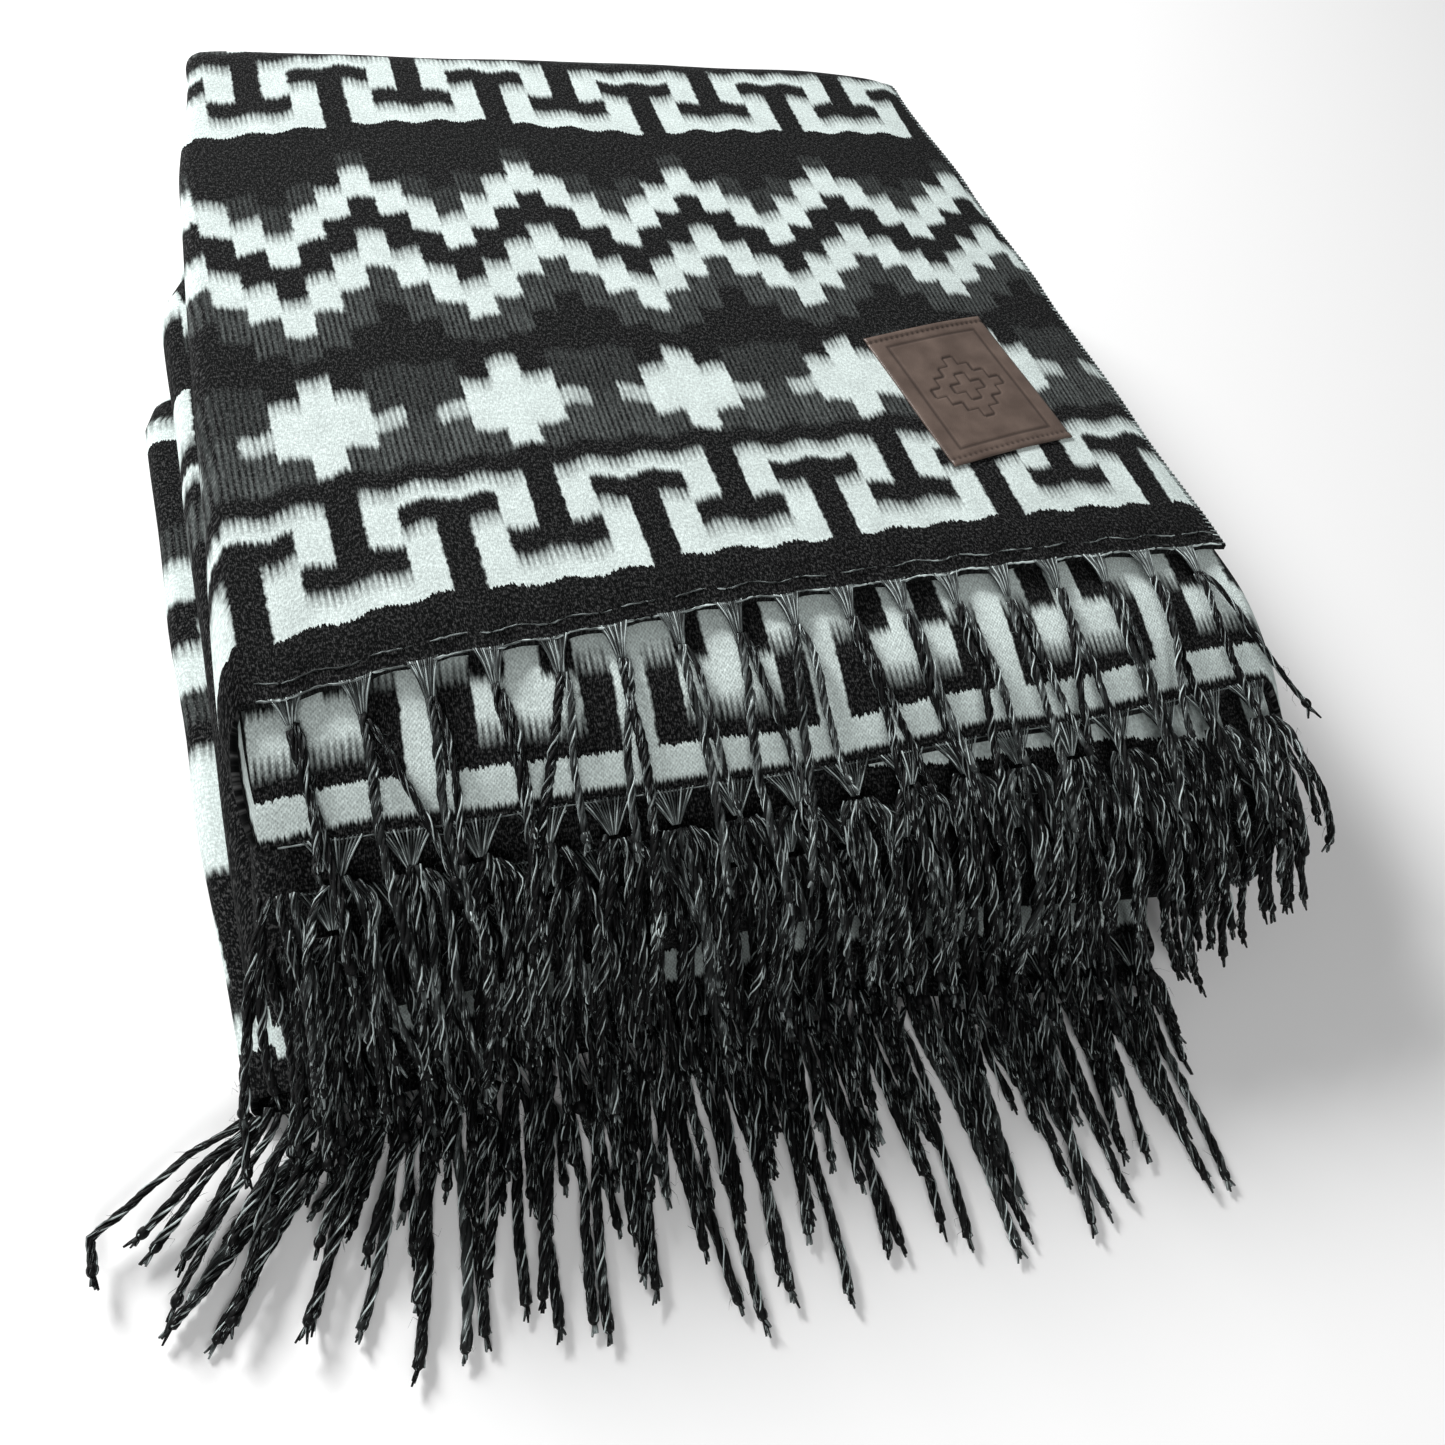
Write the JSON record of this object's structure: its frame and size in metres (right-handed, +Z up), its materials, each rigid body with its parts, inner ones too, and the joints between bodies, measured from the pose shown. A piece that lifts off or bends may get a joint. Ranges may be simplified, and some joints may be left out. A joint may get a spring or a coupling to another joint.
{
  "type": "folded fringed blanket",
  "caption": "Large brushed woollen blanket folded lengthwise and then back and forth, with twisted fringe at both ends and a plain leather patch, lying flat on a surface.",
  "frame": {"origin": "middle of the outline on the floor, under the stack", "axes": "X along the weft, from the folded edges to the selvedge; -Y towards the fringed front; Z up from the surface it lies on"},
  "size_m": [0.6557, 0.8652, 0.1402],
  "materials": {
    "cloth": "brushed alpaca twill, charcoal and off-white stepped bands, matt and hairy",
    "fringe_yarn": "two-ply twisted yarn, charcoal with pale flecks, matt and hairy",
    "patch_leather": "smooth brown leather, satin, blind-tooled border"
  },
  "bodies": {
    "root": {"blanket": "cloth", "fringe_top": "fringe_yarn", "fringe_top_second": "fringe_yarn", "fringe_top_third": "fringe_yarn", "fringe_floor_third": "fringe_yarn", "fringe_floor_second": "fringe_yarn", "fringe_floor": "fringe_yarn", "leather_patch": "patch_leather"}
  },
  "joints": []
}
